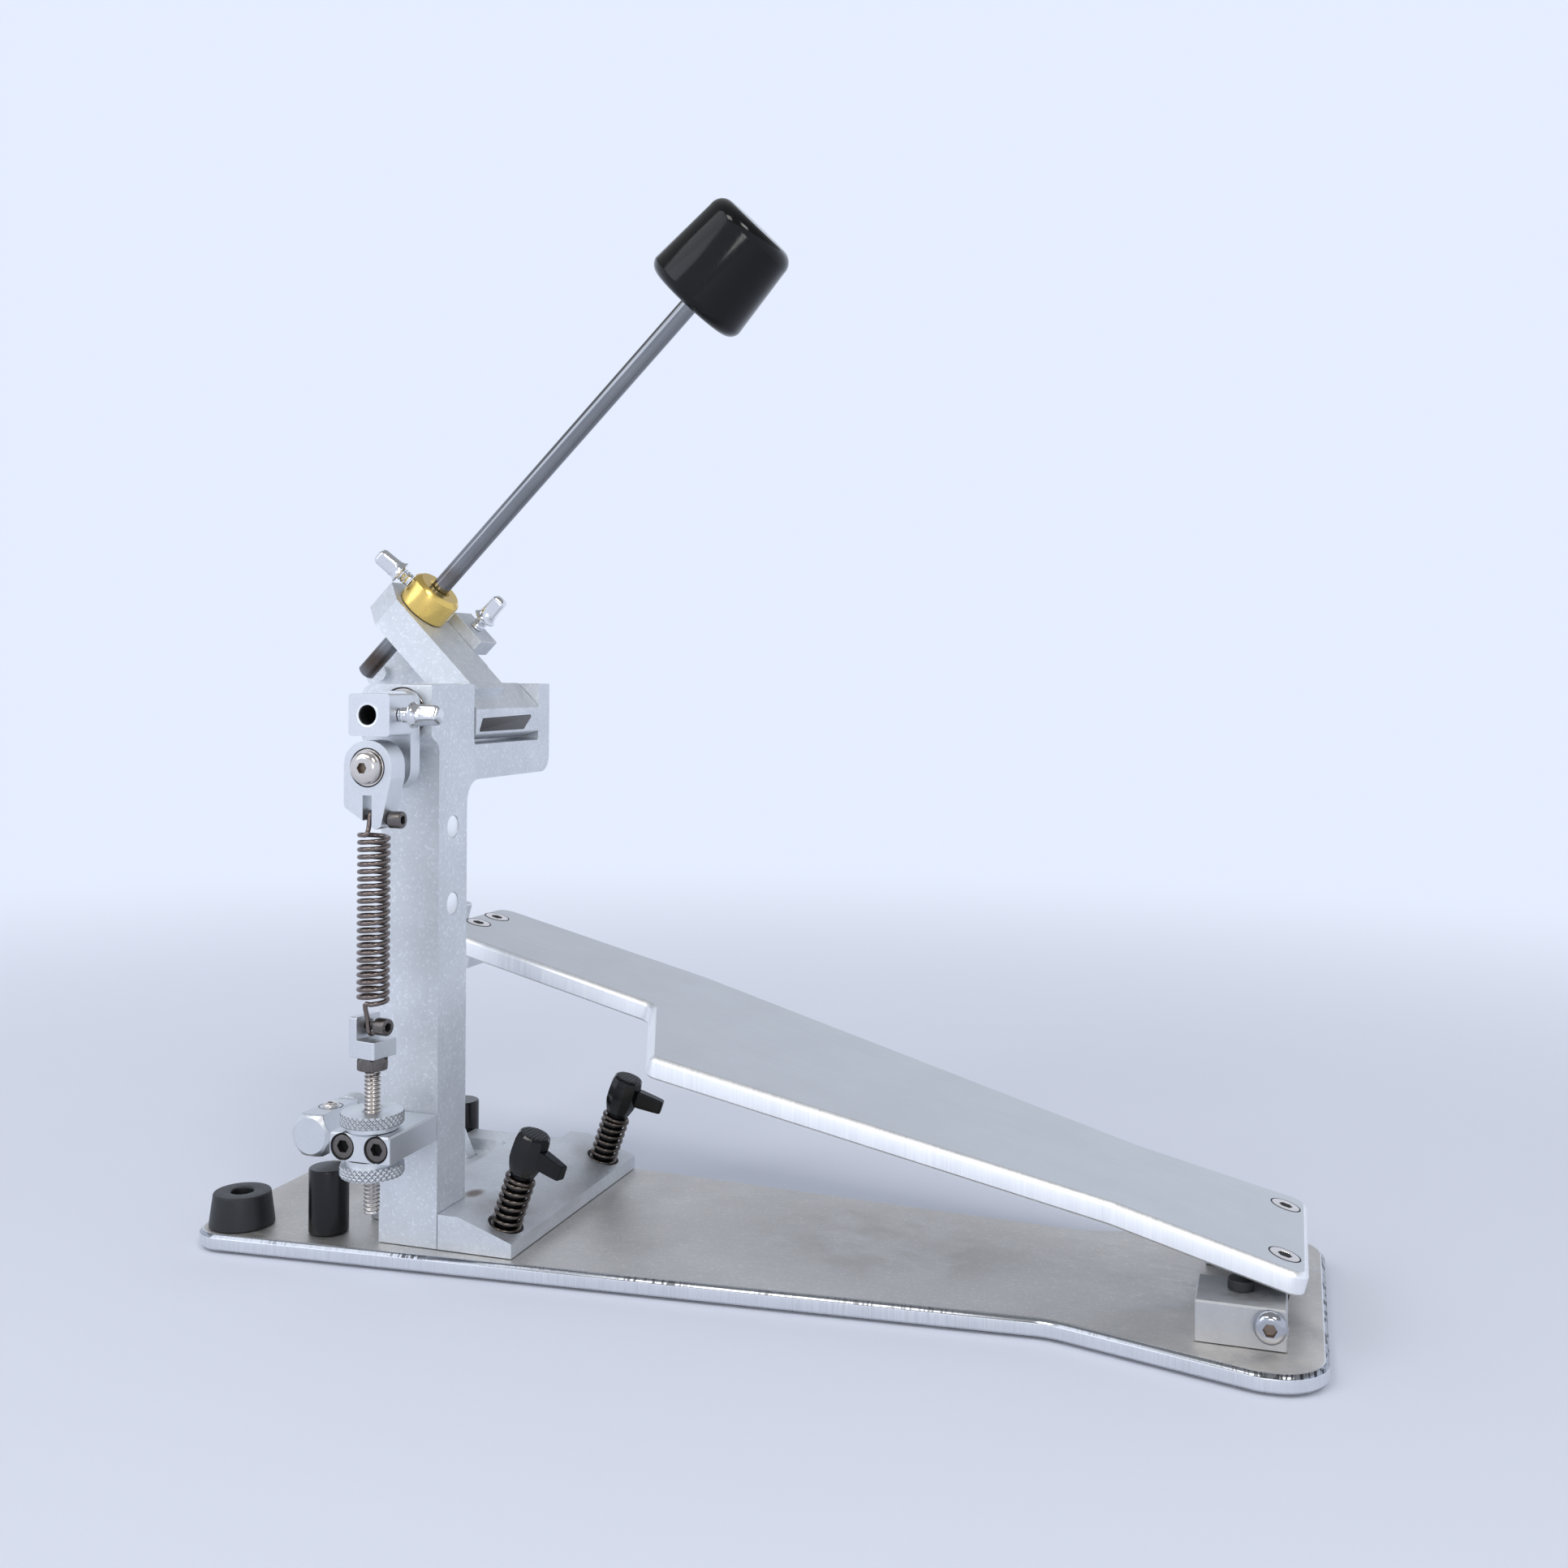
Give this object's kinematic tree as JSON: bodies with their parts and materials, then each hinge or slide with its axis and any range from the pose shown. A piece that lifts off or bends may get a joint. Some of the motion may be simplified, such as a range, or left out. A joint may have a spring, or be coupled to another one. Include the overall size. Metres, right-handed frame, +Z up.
{
  "type": "bass drum pedal",
  "caption": "Bass drum pedal on a flat base plate: a tilted footboard drives a leaning beater through a link and forked post, with a side return spring and a hoop clamp.",
  "frame": {"origin": "on the floor under the drive shaft, on the centre line of the base plate", "axes": "+X from the drum towards the heel, +Y away from the spring side, +Z up"},
  "size_m": [0.4304, 0.165, 0.4166],
  "materials": {
    "satin_aluminium": "satin, polished edges",
    "bright_steel": "bright",
    "black_steel": "dark oiled",
    "zinc_plate": "bright plated",
    "gold_collar": "satin gold",
    "black_plastic": "gloss",
    "black_rubber": "matte"
  },
  "bodies": {
    "frame": {"base_plate": "satin_aluminium", "base_mat": "black_rubber", "tower_post": "satin_aluminium", "clamp_block": "satin_aluminium", "clevis": "satin_aluminium", "clevis_screw": "black_steel", "jam_nut": "black_steel", "tension_rod": "bright_steel", "tensioner_block": "satin_aluminium", "tensioner_screw_a": "black_steel", "tensioner_screw_b": "black_steel", "bearing_near": "bright_steel", "bearing_far": "bright_steel", "clamp_spring_near": "black_steel", "clamp_spring_far": "black_steel", "bumper_near": "black_rubber", "bumper_far": "black_rubber", "hoop_stop_near": "black_plastic", "hoop_stop_far": "black_plastic", "heel_block_near": "satin_aluminium", "heel_block_far": "satin_aluminium", "hinge_screw_near": "bright_steel", "hinge_screw_far": "bright_steel", "heel_pad_near": "black_rubber", "heel_pad_far": "black_rubber"},
    "footboard": {"footboard": "satin_aluminium", "hinge_knuckle": "black_plastic", "heel_screw_near": "bright_steel", "heel_screw_far": "bright_steel", "toe_screw_a": "bright_steel", "toe_screw_b": "bright_steel", "toe_bracket": "satin_aluminium"},
    "shaft": {"drive_shaft": "bright_steel", "beater_hub": "satin_aluminium", "drive_lever": "satin_aluminium", "lever_clamp": "satin_aluminium", "lever_key_screw": "zinc_plate", "crank_coupler": "satin_aluminium", "coupler_key_screw": "zinc_plate", "crank_pin_screw": "bright_steel"},
    "beater": {"beater_rod": "black_steel", "beater_head": "black_plastic", "beater_collar": "gold_collar", "collar_key_screw": "zinc_plate"},
    "link": {"drive_link": "satin_aluminium"},
    "spring": {"tension_spring": "black_steel"},
    "spring_lever": {"spring_lever": "satin_aluminium", "lever_hook_screw": "black_steel"},
    "jaw_near": {"jaw_arm_near": "satin_aluminium", "hex_jaw_near": "satin_aluminium"},
    "jaw_far": {"jaw_arm_far": "satin_aluminium", "hex_jaw_far": "satin_aluminium"},
    "wing_near": {"wing_screw_near": "black_steel", "wing_knob_near": "black_plastic"},
    "wing_far": {"wing_screw_far": "black_steel", "wing_knob_far": "black_plastic"},
    "nut_upper": {"tension_nut_upper": "satin_aluminium"},
    "nut_lower": {"tension_nut_lower": "satin_aluminium"}
  },
  "joints": [
    {"name": "shaft_turn", "type": "hinge", "parent": "frame", "child": "shaft", "pos_m": [0, 0, 0.21435], "axis": [0, -1, 0], "range_deg": [-4, 46], "stiffness_Nm_per_rad": 2.5, "springref_deg": -2.29},
    {"name": "board_hinge", "type": "hinge", "parent": "frame", "child": "footboard", "pos_m": [0.3196, 0, 0.01565], "axis": [0, -1, 0], "range_deg": [-0.6, 6.4]},
    {"name": "link_pivot", "type": "hinge", "parent": "shaft", "child": "link", "pos_m": [-0.05, 0, 0.22995], "axis": [0, -1, 0], "range_deg": [-52.3, 4.7]},
    {"name": "beater_height", "type": "slide", "parent": "shaft", "child": "beater", "axis": [0.7071, 0, 0.7071], "range_m": [0, 0.02]},
    {"name": "spring_swing", "type": "hinge", "parent": "frame", "child": "spring", "pos_m": [0, -0.082, 0.09855], "axis": [0, -1, 0], "range_deg": [-8.4, 0.8]},
    {"name": "lever_slide", "type": "slide", "parent": "spring", "child": "spring_lever", "axis": [0, 0, 1], "range_m": [-0.0006, 0.0059], "deforming": ["tension_spring"]},
    {"name": "jaw_near_swing", "type": "hinge", "parent": "frame", "child": "jaw_near", "pos_m": [-0.024, 0, 0.01375], "axis": [0, -1, 0], "range_deg": [-6, 8]},
    {"name": "wing_near_turn", "type": "hinge", "parent": "frame", "child": "wing_near", "pos_m": [0.0362, -0.045, 0.01649], "axis": [0.3237, 0, 0.9462], "continuous": true},
    {"name": "jaw_far_swing", "type": "hinge", "parent": "frame", "child": "jaw_far", "pos_m": [-0.024, 0, 0.01375], "axis": [0, -1, 0], "range_deg": [-6, 8]},
    {"name": "wing_far_turn", "type": "hinge", "parent": "frame", "child": "wing_far", "pos_m": [0.0362, 0.045, 0.01649], "axis": [0.3237, 0, 0.9462], "continuous": true},
    {"name": "nut_upper_turn", "type": "hinge", "parent": "frame", "child": "nut_upper", "pos_m": [0, -0.082, 0.058], "axis": [0, 0, 1], "continuous": true},
    {"name": "nut_lower_turn", "type": "hinge", "parent": "frame", "child": "nut_lower", "pos_m": [0, -0.082, 0.058], "axis": [0, 0, 1], "continuous": true}
  ],
  "couplings": [
    {"joint": "board_hinge", "follows": "shaft_turn", "ratio": 0.13789},
    {"joint": "link_pivot", "follows": "shaft_turn", "ratio": -1.1315},
    {"joint": "spring_swing", "follows": "shaft_turn", "ratio": -0.17712},
    {"joint": "lever_slide", "follows": "shaft_turn", "m_per_rad": 0.0072003}
  ]
}
